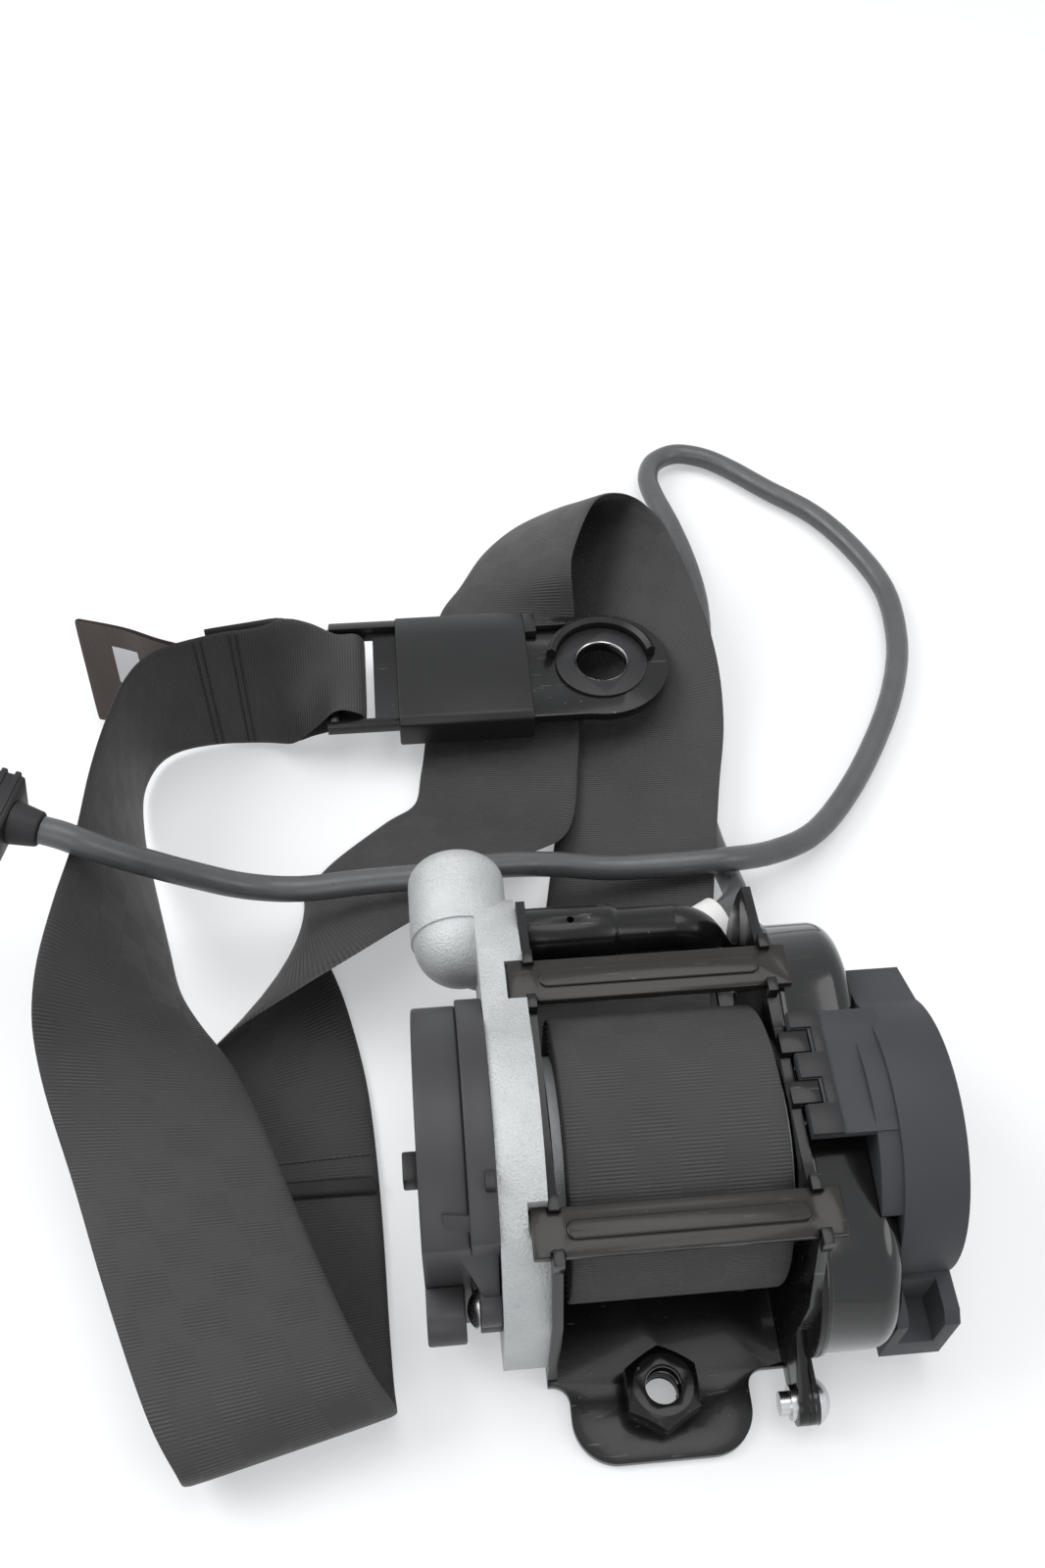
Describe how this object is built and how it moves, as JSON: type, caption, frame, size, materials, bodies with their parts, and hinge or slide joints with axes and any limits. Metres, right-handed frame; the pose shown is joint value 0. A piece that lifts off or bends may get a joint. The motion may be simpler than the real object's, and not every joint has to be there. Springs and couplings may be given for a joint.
{
  "type": "seat belt retractor",
  "caption": "Seat belt retractor: sprung webbing spool in a steel frame with inertia lock, ball pretensioner, looped webbing, end anchor and igniter lead.",
  "frame": {"origin": "axis of the weld nut at the back face of the back plate", "axes": "+X along the spool towards the spring side, +Y away from the bolt tab, +Z out of the back plate towards the nut"},
  "size_m": [0.294, 0.337, 0.074],
  "materials": {
    "black_steel": "semi-gloss black coat",
    "tie_steel": "brown-black coat",
    "pan_steel": "gloss black coat",
    "zinc": "sandy pale die casting",
    "steel": "plain bright steel",
    "spring_steel": "blued strip",
    "black_plastic": "satin moulded",
    "slate_plastic": "matte slate grey",
    "grey_plastic": "matte moulded",
    "white_plastic": "matte moulded",
    "webbing": "ribbed woven polyester",
    "tag_fabric": "dark brown sewn tag",
    "lead_rubber": "matte sleeve",
    "seal_rubber": "matte"
  },
  "bodies": {
    "retractor": {"frame": "black_steel", "weld_nut": "black_steel", "lower_tie_bar": "tie_steel", "upper_tie_bar": "tie_steel", "left_bush": "white_plastic", "right_bush": "white_plastic", "pawl_pin": "steel", "lock_housing": "zinc", "lock_ring": "black_plastic", "mechanism_cover": "black_plastic", "cover_peg": "black_plastic", "sensor_housing": "black_plastic", "sensor_ball": "steel", "lever_pin": "steel", "cover_screw": "steel", "gas_generator": "steel", "igniter_plug": "black_plastic", "pretensioner_tube": "black_steel", "piston_seal": "seal_rubber", "drive_balls": "steel", "guide_plate": "black_steel", "ball_pan": "pan_steel", "pan_rivet": "steel", "spring_cover": "slate_plastic", "power_spring": "spring_steel", "webbing_strap": "webbing", "webbing_tag": "tag_fabric", "cable_clip": "white_plastic", "igniter_lead": "lead_rubber", "lead_boot": "seal_rubber", "lead_connector": "black_plastic"},
    "spool": {"spool_drum": "zinc", "torsion_bar": "steel", "web_pin": "steel", "webbing_roll": "webbing", "ratchet_wheel": "steel", "spring_arbor": "grey_plastic"},
    "control": {"control_disc": "grey_plastic"},
    "flyweight": {"flyweight": "zinc"},
    "drive": {"drive_wheel": "steel"},
    "pawl": {"lock_pawl": "steel"},
    "lever": {"sensor_lever": "grey_plastic"},
    "anchor": {"anchor_plate": "black_steel", "anchor_cover": "black_plastic", "anchor_ring": "black_plastic"}
  },
  "joints": [
    {"name": "spool_turn", "type": "hinge", "parent": "retractor", "child": "spool", "pos_m": [0, 0.044, 0.0352], "axis": [1, 0, 0], "continuous": true},
    {"name": "control_turn", "type": "hinge", "parent": "spool", "child": "control", "pos_m": [0, 0.044, 0.0352], "axis": [1, 0, 0], "range_deg": [0, 20]},
    {"name": "flyweight_swing", "type": "hinge", "parent": "control", "child": "flyweight", "pos_m": [-0.042, 0.044, 0.0512], "axis": [-1, 0, 0], "range_deg": [0, 10]},
    {"name": "drive_turn", "type": "hinge", "parent": "retractor", "child": "drive", "pos_m": [0, 0.044, 0.0352], "axis": [1, 0, 0], "continuous": true},
    {"name": "pawl_swing", "type": "hinge", "parent": "retractor", "child": "pawl", "pos_m": [-0.03, 0.0299, 0.01078], "axis": [1, 0, 0], "range_deg": [0, 12]},
    {"name": "lever_tilt", "type": "hinge", "parent": "retractor", "child": "lever", "pos_m": [-0.047, 0.0152, 0.0306], "axis": [-1, 0, 0], "range_deg": [0, 12]},
    {"name": "anchor_swing", "type": "hinge", "parent": "retractor", "child": "anchor", "pos_m": [-0.07, 0.21, 0.016], "axis": [0, -1, 0], "range_deg": [0, 60]}
  ]
}
